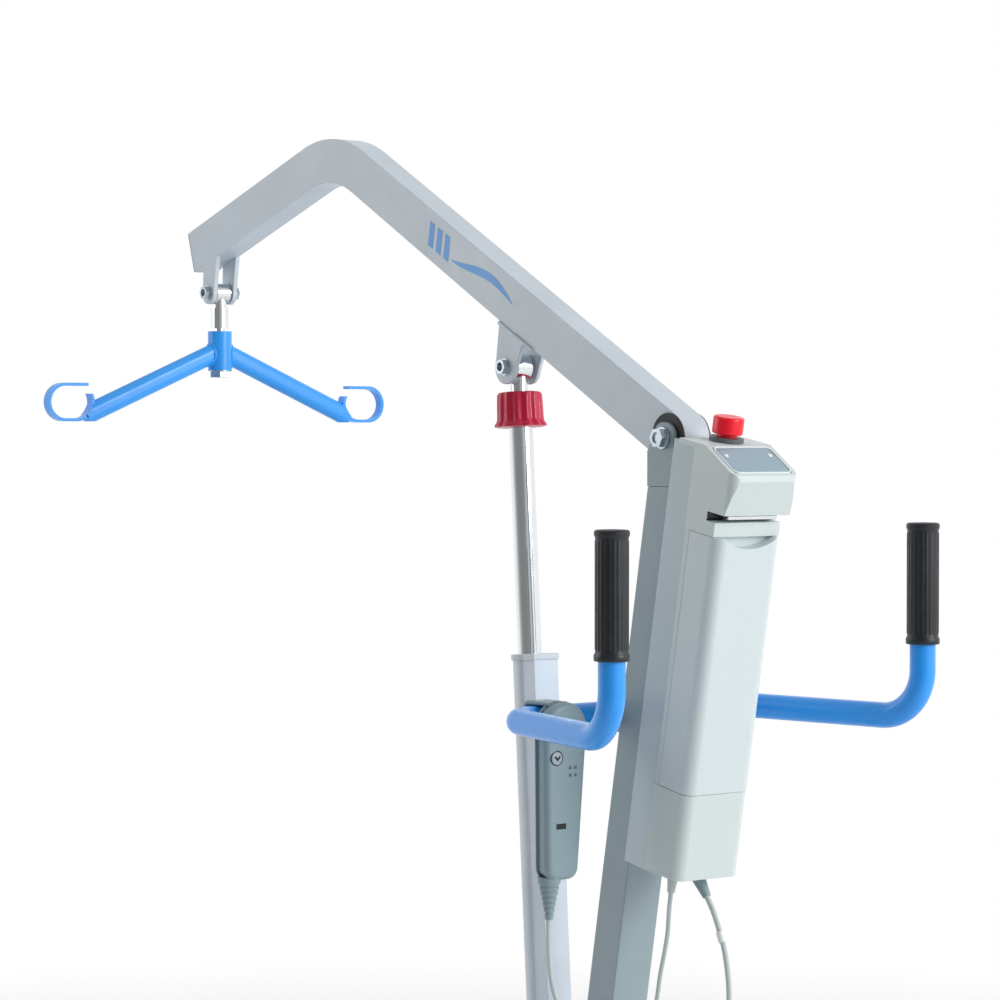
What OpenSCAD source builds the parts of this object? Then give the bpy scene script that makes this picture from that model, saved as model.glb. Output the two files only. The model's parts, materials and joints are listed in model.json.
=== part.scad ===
// Mobile patient lift hoist: leaning mast, cranked boom, spreader bar, linear actuator,
// battery and control unit, push handles, hand control and a spreading base on castors.
// Left is +X, forward is -Y, up is +Z. The hoist stands on z = 0.

/* [Mast] */
// Height of the boom pivot above the floor
pivot_z = 1330; // [1200:10:1450]
// Distance of the boom pivot behind the middle of the hoist
pivot_y = 446; // [400:2:500]
// Lean of the mast, in degrees back from vertical
lean = 10.5; // [8:0.5:12]
// Mast width across the hoist
mast_w = 50; // [46:1:56]
// Mast depth
mast_d = 44; // [40:1:50]
// Wall of the mast tube
mast_wall = 3; // [2:0.5:4]

/* [Boom] */
// Height of the boom's section
boom_h = 55; // [50:1:60]
// Width of the boom's section
boom_w = 34; // [32:1:36]
// Wall of the boom tube
boom_wall = 2.5; // [2:0.5:3]
// Rise of the rear length of the boom, in degrees
rear_rise = 28.4; // [24:0.2:32]
// Fall of the front length of the boom, in degrees
front_fall = 17.4; // [12:0.2:22]
// Distance of the bend's corner in front of the pivot
bend_p = 665; // [600:5:720]
// Radius of the bend at the middle of the tube
bend_r = 150; // [120:5:180]
// Distance of the nose in front of the pivot
nose_p = 1014; // [950:2:1060]

/* [Spreader bar] */
// Half of the spreader bar's length
spreader_half = 259; // [230:1:280]
// Droop of the arms, in degrees
arm_droop = 23.5; // [18:0.5:28]
// Height of the hanger bolt above the boom pivot
hanger_h = 194; // [180:2:210]
// Distance of the hanger bolt in front of the boom pivot
hanger_p = 969; // [950:1:980]

/* [Actuator] */
// Distance of the upper actuator bolt in front of the boom pivot
ram_p = 295; // [280:1:310]
// Height of the upper actuator bolt above the boom pivot
ram_h = 82; // [76:1:88]
// Slant of the actuator, in degrees from vertical
ram_slant = 3.9; // [3:0.1:5]
// Distance between the actuator's two bolts
ram_len = 1000; // [980:2:1020]
// Distance of the tube's mouth below the upper bolt
tube_top = 338; // [320:2:360]
// Radius of the chromed rod
rod_r = 14; // [12:0.5:16]

/* [Control unit] */
// Width of the control unit
unit_w = 90; // [84:1:96]
// Width of the carrier between the mast and the control unit
carrier_w = 64; // [60:1:70]
// Distance of the unit's front face behind the mast's axis
unit_front = 72; // [68:1:76]
// Distance of the battery's rear face behind the mast's axis
unit_back = 126; // [120:1:132]

/* [Handles] */
// Diameter of the handle tube
handle_d = 28; // [25:1:32]
// Distance of the grips from the middle of the hoist
grip_x = 213; // [190:1:230]
// Drop of the handle bar below the boom pivot
bar_drop = 302; // [290:1:315]

/* [Base] */
// Distance of the leg hinges from the middle of the hoist
leg_x = 215; // [200:1:240]
// Underside of the legs
leg_z = 101; // [100:1:106]
// Height of the leg tube
leg_h = 30; // [26:1:32]
// Width of the leg tube
leg_w = 50; // [40:1:56]
// Front end of the legs
leg_front = -615; // [-640:2:-600]
// Diameter of the front castor wheels
front_wheel_d = 75; // [70:1:76]
// Diameter of the rear castor wheels
rear_wheel_d = 100; // [96:1:102]

/* [Hidden] */
$fn = 48;
mast_back = 5.5;
fit = 0.06;
axis_y = pivot_y + mast_back;
foot_z = 168;
foot_y = axis_y - (pivot_z - foot_z) * tan(lean);
ear_in = boom_w / 2 + 2;
ear_t = 6;
ear_out = ear_in + ear_t;

bolt_r = 6;
nose_h = bend_p * tan(rear_rise) - (nose_p - bend_p) * tan(front_fall);
tangent = bend_r * tan((rear_rise + front_fall) / 2);
rear_len = bend_p / cos(rear_rise) - tangent;
front_len = (nose_p - bend_p) / cos(front_fall) - tangent;
under = boom_h / 2 / cos(rear_rise);
grip_y = pivot_y + 151;
bar_y = axis_y - bar_drop * tan(lean) - (mast_d / 2 + handle_d / 2 + 0.1) / cos(lean);
bar_z = pivot_z - bar_drop;
handle_corner = 162;
wheel_pair = 9;
front_castor_y = leg_front + 42;
rear_castor_x = 215;
rear_castor_y = foot_y + 150;
// Heights of the control unit's parts along the mast, measured from the pivot
head_low = -58;
slot_low = -68;
battery_top = -83;
battery_low = -361;
unit_low = -455;
// Place of the hand control on the handle's cross bar
hand_x = 118;
hand_y = bar_y + handle_d / 2 + 2.7;
hand_top = pivot_z - 282;
hand_low = pivot_z - 472;
button_x = hand_x + 15;
button_r = 7;
relief_x = hand_x + 14;
relief_y = hand_y + 10;
button_up_z = hand_top - 34;
button_down_z = hand_top - 59;
// Sling hooks and the swivel that carries the spreader bar
hook_r = 25;
hook_t = 4;
hub_r = 16;
stem_r = 12;
swivel_r = 7;
hook_z = -147;
label_w = 78;
label_d = 46;
scoop_w = 76;
scoop_deep = 12;
scoop_r = (scoop_w * scoop_w / 4 + scoop_deep * scoop_deep) / 2 / scoop_deep;
cable_d = 5;
cord_d = 6;
curl_d = 28;
// Route of the motor's cable, from its plug down to the grommet in the back of the mast
motor_route = [[10, 442, 840], [10, 439, 820], [10, 437, 798], [10, 432, 776], [10, 424, 748],
    [10, 419, 724], [9, 409, 695], [8, 399, 668], [6, 388, 645], [4, 377, 627], [1, 365, 617.5],
    [0, 354, 616], [0, 343, 618]];
// Straight lengths of the hand control's cord, above and below the curled length
cord_in = [[-12, 476, 838], [-12, 485, 826], [-12, 493, 812], [-12, 504, 788], [-12, 510, 765],
    [-12, 513, 740], [-12, 512, 715], [-13.9, 508.2, 691.5]];
cord_out = [[132, 385.2, 815], [132, 385, 800], [131.5, 385, 778], [129, 386, 750], [123, 391, 722],
    [112, 398, 698], [100, 405, 678], [93, 409, 664], [90.3, 410, 653.5]];
// Middle of the curled length of the cord, which hangs in a bight
curl_route = [[-14, 508, 690], [-15, 505, 650], [-11, 499, 605], [-2, 490, 560], [13, 478, 522],
    [34, 463, 502], [56, 447, 505], [74, 432, 532], [84, 420, 575], [89, 413, 615], [90, 410, 652]];

// Places its children in the mast's leaning frame, with the origin level with the pivot
module on_mast() {
    translate([0, axis_y, pivot_z]) rotate([-lean, 0, 0]) children();
}

// Extrudes a side outline given as (forward, up) from the boom pivot, centred at x
module side(width, x = 0) {
    translate([x, pivot_y, pivot_z]) rotate([90, 0, -90])
        linear_extrude(width, center = true) children();
}

// Extrudes a side outline given as (backward, up) in the mast's frame, centred at x
module unit_side(width, x = 0) {
    on_mast() translate([x, 0, 0]) rotate([90, 0, 90])
        linear_extrude(width, center = true) children();
}

// A round bar along X
module bar_x(r, length, x = 0) {
    translate([x, 0, 0]) rotate([0, 90, 0]) cylinder(r = r, h = length, center = true);
}

// A hexagon along X, from x0 outward over height h, given across the flats
module hex_x(flats, x0, h) {
    translate([x0, 0, 0]) rotate([0, 90, 0]) rotate([0, 0, 30])
        cylinder(d = flats / cos(30), h = h, $fn = 6);
}

// Moves its children to the boom pivot
module at_pivot() { translate([0, pivot_y, pivot_z]) children(); }

// Moves its children to the actuator's upper bolt
module at_ram() { translate([0, pivot_y - ram_p, pivot_z + ram_h]) children(); }

// Places its children in the actuator's frame, with -Z down its axis from the upper bolt
module on_ram() { at_ram() rotate([ram_slant, 0, 0]) children(); }

// Moves its children to the hanger bolt
module at_hanger() { translate([0, pivot_y - hanger_p, pivot_z + hanger_h]) children(); }

// Moves its children to the lower end of the mast's axis
module at_foot() { translate([0, foot_y, foot_z]) children(); }

// Mirrors its children so that both sides are drawn
module both_sides() {
    children();
    mirror([1, 0, 0]) children();
}

// ---- Mast ----

module mast() color([0.62, 0.66, 0.70]) {
    length = (pivot_z - foot_z) / cos(lean) + 40;
    intersection() {
        on_mast() translate([0, 0, -length / 2 - 20]) difference() {
            cube([mast_w, mast_d, length + 60], center = true);
            cube([mast_w - 2 * mast_wall, mast_d - 2 * mast_wall, length + 80], center = true);
        }
        translate([-60, -400, foot_z]) cube([120, 1200, pivot_z - 52 - foot_z]);
    }
}

module mast_fork() color([0.60, 0.64, 0.68]) difference() {
    union() {
        both_sides() side(ear_t, ear_in + ear_t / 2) {
            circle(r = 17);
            polygon([[17, 0], [27, -14], [27, -52], [-18, -52], [-17, 0]]);
        }
        side(2 * ear_out, 0) polygon([[27, -52], [27, -38], [-17, -38], [-18, -52]]);
    }
    at_pivot() bar_x(bolt_r + 0.02, 2 * ear_out + 4);
}

module pivot_bolt() color([0.78, 0.80, 0.82]) at_pivot() {
    bar_x(bolt_r, 2 * ear_out + 18, -1);
    difference() {
        union() {
            hex_x(19, ear_out + 2.5, 7.5);
            bar_x(12, 2.5, ear_out + 1.25);
        }
        bar_x(bolt_r - 0.001, 200);
    }
    translate([-ear_out - 2.5, 0, 0]) difference() {
        union() {
            hex_x(19, -8, 8);
            bar_x(12, 2.5, 1.25);
        }
        bar_x(bolt_r - 0.001, 200);
    }
}

module pivot_washers() color([0.10, 0.10, 0.11]) at_pivot() both_sides() difference() {
    bar_x(27, 1.8, boom_w / 2 + 1);
    bar_x(bolt_r + fit, 200);
}

// ---- Boom ----

// Points of an arc about c, from angle a0 to a1, in n steps
function turn(c, r, a0, a1, n) =
    [for (i = [0 : n]) let(a = a0 + (a1 - a0) * i / n) c + r * [cos(a), sin(a)]];

// Side outline of the boom, inset by g all round, with its nose over longer
module boom_outline(g, over) {
    half = boom_h / 2 - g;
    top = 90 + rear_rise;
    fall = [cos(front_fall), -sin(front_fall)];
    centre = rear_len * [cos(rear_rise), sin(rear_rise)] - bend_r * [cos(top), sin(top)];
    outer = turn(centre, bend_r + half, top, 90 - front_fall, 24);
    inner = turn(centre, bend_r - half, 90 - front_fall, top, 24);
    polygon(concat(outer, [outer[24] + fall * (front_len + over), inner[0] + fall * (front_len + over)],
        inner, turn([0, 0], half, top + 180, top, 16)));
}

module boom() color([0.70, 0.73, 0.77]) difference() {
    side(boom_w) boom_outline(0, 0);
    difference() {
        side(boom_w - 2 * boom_wall) boom_outline(boom_wall, 5);
        at_pivot() bar_x(18, boom_w - 2 * boom_wall + 1);
    }
    at_pivot() bar_x(10, boom_w + 4);
}

// Moves its children to the middle of the nose's end face, with -Y out of the face
module at_nose() {
    translate([0, pivot_y - nose_p, pivot_z + nose_h]) rotate([front_fall, 0, 0]) children();
}

module boom_nose_cap() color([0.68, 0.71, 0.75]) at_nose() {
    translate([0, -1.5, 0]) cube([boom_w, 3, boom_h], center = true);
    translate([0, 9, 0]) cube([boom_w - 2 * boom_wall - 0.2, 18, boom_h - 2 * boom_wall - 0.2],
        center = true);
}

module boom_bush() color([0.72, 0.58, 0.35]) at_pivot() difference() {
    bar_x(10, boom_w);
    bar_x(bolt_r + fit, boom_w + 2);
}

module actuator_bracket() color([0.62, 0.66, 0.70]) difference() {
    union() {
        both_sides() side(5, 16.5) {
            translate([ram_p, ram_h]) circle(r = 20);
            polygon([[ram_p + 19, ram_h + 4], [ram_p + 12, line_under(ram_p + 12)],
                [ram_p - 34, line_under(ram_p - 34)], [ram_p - 16, ram_h - 11]]);
        }
        side(38) polygon([[ram_p + 14, line_under(ram_p + 14)], [ram_p - 36, line_under(ram_p - 36)],
            [ram_p - 34, line_under(ram_p - 36) - 4], [ram_p + 16, line_under(ram_p + 14) - 4]]);
    }
    at_ram() bar_x(5.02, 60);
}

// Height of the boom's underside at distance p in front of the pivot
function line_under(p) = p * tan(rear_rise) - under;

module actuator_bolt() color([0.75, 0.77, 0.79]) at_ram() {
    bar_x(5, 40);
    both_sides() difference() {
        union() {
            hex_x(16, 20.5, 6.5);
            bar_x(10, 1.5, 19.75);
        }
        bar_x(4.999, 200);
    }
}

module hanger_ears() color([0.55, 0.58, 0.61]) difference() {
    both_sides() side(6, 15) {
        translate([hanger_p, hanger_h]) circle(r = 15);
        polygon([[hanger_p + 14.5, hanger_h - 3], [hanger_p + 12, nose_under(hanger_p + 12)],
            [hanger_p - 22, nose_under(hanger_p - 22)], [hanger_p - 14, hanger_h - 4]]);
    }
    at_hanger() bar_x(5.02, 60);
}

// Height of the front length's underside at distance p in front of the pivot
function nose_under(p) = nose_h + (nose_p - p) * tan(front_fall) - boom_h / 2 / cos(front_fall);

module hanger_bolt() color([0.75, 0.77, 0.79]) at_hanger() {
    bar_x(5, 44);
    both_sides() difference() {
        union() {
            hex_x(16, 19.5, 6.5);
            bar_x(10, 1.5, 18.75);
        }
        bar_x(4.999, 200);
    }
}

// Chromed stem: an eye on the hanger bolt, a neck and the swivel pin of the spreader bar
module hanger_stem() color([0.85, 0.87, 0.89]) at_hanger() difference() {
    union() {
        bar_x(13, 20);
        translate([0, 0, -22]) cylinder(r = 9.9, h = 15);
        translate([0, 0, -47]) cylinder(r = stem_r, h = 27);
        translate([0, 0, -112]) cylinder(r = swivel_r, h = 70);
    }
    bar_x(5 + fit, 60);
}

module stem_nut() color([0.75, 0.77, 0.79]) at_hanger() translate([0, 0, -112.5]) difference() {
    union() {
        cylinder(d = 25 / cos(30), h = 8, $fn = 6);
        translate([0, 0, 8]) cylinder(r = hub_r - 0.5, h = 1.5);
    }
    translate([0, 0, -1]) cylinder(r = swivel_r - 0.001, h = 20);
}

// A flattened tube along Z, length long
module flat_tube(length) {
    linear_extrude(length) hull() {
        translate([-3, 0]) circle(r = 10);
        translate([3, 0]) circle(r = 10);
    }
}

// Outline of a link with round ends of radius r
module link_outline(r) {
    circle(r = r);
    translate([-17, 0]) circle(r = r);
    translate([-17, -r]) square([17, 2 * r]);
}

// A flat strap bent into a D, seen along Y, open at its top on the inner side
module sling_hook() {
    rotate([90, 0, 0]) linear_extrude(14, center = true) {
        difference() {
            link_outline(hook_r);
            link_outline(hook_r - hook_t);
            translate([-50, 11]) square([33, 20]);
        }
        translate([-33, hook_r - hook_t]) square([33, hook_t]);
    }
}

module spreader_bar() color([0.33, 0.65, 0.90]) at_hanger() difference() {
    union() {
        translate([0, 0, -103]) cylinder(r = hub_r, h = 52);
        both_sides() {
            translate([0, 0, -76]) rotate([0, 90 + arm_droop, 0])
                flat_tube((spreader_half - 56) / cos(arm_droop));
            translate([spreader_half - hook_r, 0, hook_z]) sling_hook();
        }
    }
    translate([0, 0, -120]) cylinder(r = swivel_r + fit, h = 90);
    both_sides() {
        translate([0, -20, hook_z - hook_r - 30]) cube([300, 40, 30]);
        translate([spreader_half - hook_r, 0, hook_z]) rotate([90, 0, 0])
            linear_extrude(40, center = true) link_outline(hook_r - hook_t);
    }
}

// ---- Actuator ----

module ram_eye() color([0.80, 0.82, 0.84]) on_ram() difference() {
    union() {
        bar_x(15, 20);
        translate([0, 0, -30]) cylinder(r = 10, h = 24);
    }
    bar_x(5 + fit, 60);
}

// Ribbed collar that lowers the boom by hand when it is turned
module release_collar() color([0.78, 0.05, 0.20]) on_ram() translate([0, 0, -68]) difference() {
    union() {
        cylinder(r = 25, h = 37);
        for (i = [0 : 17]) rotate([0, 0, i * 20]) translate([25, 0, 3]) cylinder(r = 2, h = 34);
        cylinder(r = 30, h = 5);
    }
    translate([0, 0, -1]) cylinder(r = rod_r + fit, h = 50);
}

module ram_rod() color([0.82, 0.84, 0.86]) on_ram() difference() {
    translate([0, 0, -680]) cylinder(r = rod_r, h = 650);
    translate([0, 0, -681]) cylinder(r = 9, h = 621);
}

module drive_screw() color([0.62, 0.64, 0.66]) on_ram()
    translate([0, 0, -895]) cylinder(r = 8, h = 545);

module actuator_tube() color([0.84, 0.87, 0.89]) on_ram() translate([0, 0, -890]) difference() {
    union() {
        cylinder(r = 20, h = 890 - tube_top);
        translate([-17, 2, 0]) cube([34, 28, 890 - tube_top]);
        translate([0, 24, 0]) cylinder(r = 10, h = 1);
    }
    translate([0, 0, -1]) cylinder(r = rod_r + 0.08, h = 900);
    both_sides() translate([18.5, 8, -1]) cube([10, 4, 900]);
}

module actuator_mouth() color([0.74, 0.77, 0.79]) on_ram() translate([0, 0, -tube_top])
    difference() {
        union() {
            cylinder(r = 22, h = 7);
            translate([-18.5, 2, 0]) cube([37, 29.5, 7]);
        }
        translate([0, 0, -1]) cylinder(r = rod_r + 0.08, h = 20);
    }

// Lower eye, gear casing and motor casing of the actuator
module motor_case() color([0.30, 0.32, 0.34]) on_ram() difference() {
    union() {
        translate([-30, -80, -955]) cube([60, 112, 65]);
        translate([0, -52, -890]) cylinder(r = 28, h = 130);
        translate([-11, -16, -985]) cube([22, 32, 31]);
        translate([0, 0, -ram_len]) bar_x(16, 22);
    }
    translate([0, 0, -ram_len]) bar_x(8, 60);
    translate([0, -52, -940]) cylinder(r = 24, h = 176);
    translate([0, 0, -900]) cylinder(r = 9, h = 20);
}

module motor() color([0.45, 0.47, 0.50]) on_ram() translate([0, -52, -935]) {
    cylinder(r = 22, h = 165);
}

// Distance in front of the pivot of the mast's front face, at height h from the pivot
function mast_face(h) = mast_d / 2 / cos(lean) - mast_back - h * tan(lean);

// Bracket on the mast with the two stub pins of the actuator's lower end
module actuator_foot() color([0.62, 0.66, 0.70]) {
    low_p = ram_p - ram_len * sin(ram_slant);
    low_h = ram_h - ram_len * cos(ram_slant);
    both_sides() {
        side(6, 17) {
            translate([low_p, low_h]) circle(r = 18);
            polygon([[mast_face(low_h + 30), low_h + 30], [low_p + 4, low_h + 17.5],
                [low_p + 4, low_h - 17.5], [mast_face(low_h - 30), low_h - 30]]);
        }
        translate([0, pivot_y - low_p, pivot_z + low_h]) {
            bar_x(7, 3, 13.5);
            hex_x(16, 19.5, 6.5);
        }
    }
    side(36) polygon([[mast_face(low_h + 34), low_h + 34], [mast_face(low_h + 34) + 4, low_h + 34],
        [mast_face(low_h - 34) + 4, low_h - 34], [mast_face(low_h - 34), low_h - 34]]);
}

// ---- Control unit ----

// A block along the mast from z0 to z1, from b0 to b1 behind it, with rounded rear edges
module unit_block(width, z0, z1, b0, b1, r) {
    on_mast() translate([0, 0, z0]) linear_extrude(z1 - z0) {
        translate([-width / 2, b0]) square([width, b1 - b0 - r]);
        translate([r - width / 2, b0]) square([width - 2 * r, b1 - b0]);
        for (x = [r - width / 2, width / 2 - r]) translate([x, b1 - r]) circle(r = r);
    }
}

carrier_low = -463;

module carrier() color([0.70, 0.74, 0.76]) difference() {
    unit_block(carrier_w, carrier_low, 3.9, mast_d / 2, unit_front, 3);
    unit_block(carrier_w - 5, carrier_low + 3, 1, mast_d / 2 - 1, unit_front - 2.5, 1);
    at_pivot() bar_x(29, 42);
}

module control_head() color([0.86, 0.88, 0.87]) difference() {
    intersection() {
        unit_block(unit_w, battery_top, 20, 46, 141.5, 12);
        unit_side(unit_w + 2) polygon([[46, 4], [46, 9], [88, 9], [139, -14], [142, -20],
            [132, head_low], [104, head_low], [104, slot_low], [119, slot_low],
            [119, battery_top], [unit_front, battery_top], [unit_front, 4]]);
    }
    unit_side(unit_w - 5) polygon([[unit_front + 2.5, 1], [90, 1], [133, -20], [126, head_low + 2.5],
        [unit_front + 2.5, head_low + 2.5]]);
    on_mast() translate([0, 69, 4]) cylinder(r = 11, h = 10);
    on_label() cube([label_w + 0.2, label_d + 0.2, 3], center = true);
}

// Moves its children to the middle of the head's sloping label field, with Z out of it
module on_label() {
    on_mast() translate([0, 113.5, -2.5]) rotate([-24.3, 0, 0]) children();
}

module label_panel() color([0.62, 0.70, 0.77]) on_label() translate([0, 0, -0.7]) {
    cube([label_w, label_d, 1.6], center = true);
    for (x = [-30, 30]) translate([x, -8, 0.8]) cylinder(r = 2.6, h = 0.6);
}

module slot_bar() color([0.85, 0.87, 0.89]) on_mast()
    translate([-40, 104, slot_low + 2.5]) cube([68, 15, 5]);

module control_box() color([0.85, 0.88, 0.88]) difference() {
    union() {
        unit_block(unit_w - 2, battery_low, battery_top - 0.1, unit_front, unit_front + 8, 2);
        unit_block(unit_w, unit_low, battery_low, unit_front, unit_back, 14);
    }
    unit_block(unit_w - 5, unit_low + 2.5, battery_low - 2.5, unit_front + 2.5, unit_back - 2.5, 12);
    on_mast() {
        translate([10, 80, unit_low - 1]) cylinder(r = 5, h = 10);
        translate([-12, 98, unit_low - 1]) cylinder(r = 5, h = 10);
    }
}

module control_board() color([0.10, 0.35, 0.20]) on_mast() {
    translate([-36, 82, unit_low + 20]) cube([72, 1.6, 66]);
    translate([-30, 83.6, unit_low + 30]) cube([24, 14, 28]);
    translate([6, 83.6, unit_low + 34]) cube([22, 18, 20]);
}

module battery() color([0.87, 0.90, 0.90]) difference() {
    unit_block(unit_w, battery_low + 0.4, battery_top - 0.4, unit_front + 8.3, unit_back + 1, 14);
    unit_block(unit_w - 5, battery_low + 3, battery_top - 26, unit_front + 11, unit_back - 1.5, 12);
    on_mast() translate([0, unit_back - 14, battery_top - scoop_deep + scoop_r])
        rotate([-90, 0, 0]) cylinder(r = scoop_r, h = 30, $fn = 96);
}

module battery_cells() color([0.16, 0.17, 0.18]) on_mast() {
    for (z = [battery_low + 8, battery_low + 126]) translate([-38, unit_front + 13, z])
        cube([76, 36, 112]);
}

module stop_ring() color([0.60, 0.63, 0.65]) on_mast() translate([0, 69, 9]) difference() {
    cylinder(r = 18.5, h = 5);
    translate([0, 0, -1]) cylinder(r = 10.6, h = 20);
}

module stop_button() color([0.90, 0.05, 0.10]) on_mast() translate([0, 69, 0]) {
    translate([0, 0, 7.6]) cylinder(r = 10.5, h = 13);
    translate([0, 0, 17.4]) cylinder(r = 16.5, h = 18.6);
}

// ---- Handles ----

function unit(v) = v / norm(v);

// Points of the arc of radius r that rounds the corner b between a and c
function arc(a, b, c, r, n) = let(u = unit(a - b), v = unit(c - b), half = acos(u * v) / 2,
    w = 180 - 2 * half, o = b + unit(u + v) * r / sin(half), s = b + u * r / tan(half),
    e = b + v * r / tan(half))
    [for (i = [0 : n]) o + ((s - o) * sin((1 - i / n) * w) + (e - o) * sin(w * i / n)) / sin(w)];

// Direction of a line of points at each point
function along(p) = [for (i = [0 : len(p) - 1])
    unit(p[min(i + 1, len(p) - 1)] - p[max(i - 1, 0)])];

// Side vectors that turn as little as possible along the directions t
function carried(t, n0) = [for (i = 0, n = unit(n0 - t[0] * (n0 * t[0])); i < len(t);
    i = i + 1, n = i < len(t) ? unit(n - t[i] * (n * t[i])) : n) n];

// A round tube swept along a line of points
module sweep(p, d, sides, n0 = [1, 0.2, 0.1]) {
    t = along(p);
    n = carried(t, n0);
    last = len(p) - 1;
    rings = [for (i = [0 : last]) for (k = [0 : sides - 1])
        p[i] + d / 2 * (n[i] * cos(k * 360 / sides) + cross(t[i], n[i]) * sin(k * 360 / sides))];
    walls = [for (i = [0 : last - 1]) for (k = [0 : sides - 1]) let(q = (k + 1) % sides)
        [i * sides + k, (i + 1) * sides + k, (i + 1) * sides + q, i * sides + q]];
    ends = [[for (k = [0 : sides - 1]) k], [for (k = [sides - 1 : -1 : 0]) last * sides + k]];
    polyhedron(rings, concat(walls, ends), convexity = 6);
}

module handle_bar() color([0.20, 0.52, 0.90]) {
    top = [grip_x, grip_y, pivot_z - 94];
    low = [grip_x, grip_y, bar_z];
    corner = [handle_corner, bar_y, bar_z];
    middle = [0, bar_y, bar_z];
    half = concat([top, top - [0, 0, 60]], arc(top, low, corner, 52, 8),
        arc(low, corner, middle, 34, 8));
    last = len(half) - 1;
    other = [for (i = [last : -1 : 0]) [-half[i][0], half[i][1], half[i][2]]];
    sweep(concat(half, other), handle_d, 24);
}

module handle_saddle() color([0.62, 0.66, 0.70]) translate([0, bar_y, bar_z]) difference() {
    translate([-22, -handle_d / 2 - 4, -handle_d / 2 - 6]) cube([44, handle_d + 12, handle_d + 12]);
    bar_x(handle_d / 2 + 0.3, 80);
    translate([0, axis_y - bar_y, bar_drop]) rotate([-lean, 0, 0]) translate([-40, -mast_d / 2, -600])
        cube([80, 300, 800]);
}

module grips() color([0.11, 0.12, 0.14]) both_sides() translate([grip_x, grip_y, pivot_z - 222])
    difference() {
        union() {
            cylinder(r = 17, h = 131);
            cylinder(r = 18.2, h = 7);
            translate([0, 0, 124]) cylinder(r = 18, h = 7);
            for (i = [0 : 15]) rotate([0, 0, i * 22.5]) translate([16.6, 0, 8])
                cylinder(r = 1, h = 115, $fn = 16);
        }
        translate([0, 0, -1]) cylinder(r = handle_d / 2 + 0.1, h = 129.2);
    }

// ---- Hand control ----

module handset() color([0.56, 0.60, 0.62]) difference() {
    union() {
        translate([hand_x, hand_y, 0]) rotate([90, 0, 0]) mirror([0, 0, 1]) linear_extrude(25) {
            translate([-28, hand_top - 28]) intersection() {
                translate([28, 0]) circle(r = 28);
                square([56, 28]);
            }
            polygon([[-28, hand_top - 28], [28, hand_top - 28], [26.5, hand_low + 12],
                [23.5, hand_low + 3.5], [16, hand_low], [-8, hand_low], [-13.5, hand_low + 3.5],
                [-16.5, hand_low + 12]]);
        }
        translate([relief_x, relief_y, hand_low - 30]) cylinder(r1 = 5.5, r2 = 12, h = 31);
        translate([relief_x, relief_y, hand_low - 43]) cylinder(r = 4.5, h = 14);
        translate([hand_x - 14, bar_y - 20, bar_z + handle_d / 2 + 1]) cube([28, 38, 4]);
        translate([hand_x - 14, bar_y - 20, bar_z - 2]) cube([28, 4.5, 20]);
    }
    for (z = [button_up_z, button_down_z]) translate([button_x, hand_y + 20, z]) rotate([-90, 0, 0])
        cylinder(r = button_r + 0.5, h = 10);
}

// A push button on the hand control's face, at height z
module push_button(z) {
    translate([button_x, hand_y + 22, z]) rotate([-90, 0, 0]) cylinder(r = button_r, h = 4.6);
}

module button_up() color([0.66, 0.70, 0.72]) push_button(button_up_z);

module button_down() color([0.66, 0.70, 0.72]) push_button(button_down_z);

// ---- Cables ----

module motor_plug() color([0.84, 0.86, 0.86]) {
    on_mast() translate([10, 80, unit_low - 0.5]) cylinder(r = 4.95, h = 6.5);
    translate(motor_route[0]) rotate([-lean, 0, 0]) cylinder(r1 = 4, r2 = 7, h = 28);
}

module handset_plug() color([0.45, 0.48, 0.50]) {
    on_mast() translate([-12, 98, unit_low - 7]) cylinder(r = 7, h = 6.9);
    on_mast() translate([-12, 98, unit_low - 1]) cylinder(r = 4.95, h = 7);
    translate(cord_in[0]) rotate([37, 0, 0]) cylinder(r1 = 4.5, r2 = 8, h = 26);
}

module motor_cable() color([0.80, 0.82, 0.83]) sweep(motor_route, cable_d, 8);

module cable_grommet() color([0.15, 0.15, 0.16]) translate(motor_route[len(motor_route) - 1])
    rotate([-90 - lean, 0, 0]) difference() {
        translate([0, 0, -0.9]) cylinder(r = 8, h = 4);
        translate([0, 0, -2]) cylinder(r = cable_d / 2 + 0.3, h = 8);
    }

module handset_cord() color([0.80, 0.82, 0.83]) {
    sweep(cord_in, cord_d, 8);
    sweep(cord_out, cord_d, 8);
}

module handset_curl() color([0.80, 0.82, 0.83]) sweep(curl_route, curl_d, 12);

// ---- Base ----

module base_beam() color([0.62, 0.66, 0.70]) {
    at_foot() difference() {
        union() {
            translate([-leg_x - 35, -32, -35]) cube([2 * leg_x + 70, 64, 30]);
            translate([-40, -36, -5]) cube([80, 72, 5]);
            both_sides() translate([rear_castor_x - 25, 32, -35]) cube([50, 148, 30]);
        }
        translate([-leg_x + 30, -29, -32]) cube([2 * leg_x - 60, 58, 24]);
        translate([0, 26, -20]) rotate([-90, 0, 0]) cylinder(r = 10 + fit, h = 20);
        both_sides() translate([leg_x, 0, -40]) cylinder(r = 8 + fit, h = 40);
        both_sides() translate([rear_castor_x, 150, -40]) cylinder(r = 6 + fit, h = 30);
    }
}

module leg_bolts() color([0.75, 0.77, 0.79]) at_foot() both_sides() translate([leg_x, 0, 0]) {
    translate([0, 0, -72]) cylinder(r = 8, h = 67);
    translate([0, 0, -5]) cylinder(d = 24 / cos(30), h = 8, $fn = 6);
    translate([0, 0, -80]) cylinder(r = 13, h = 11);
}

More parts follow.
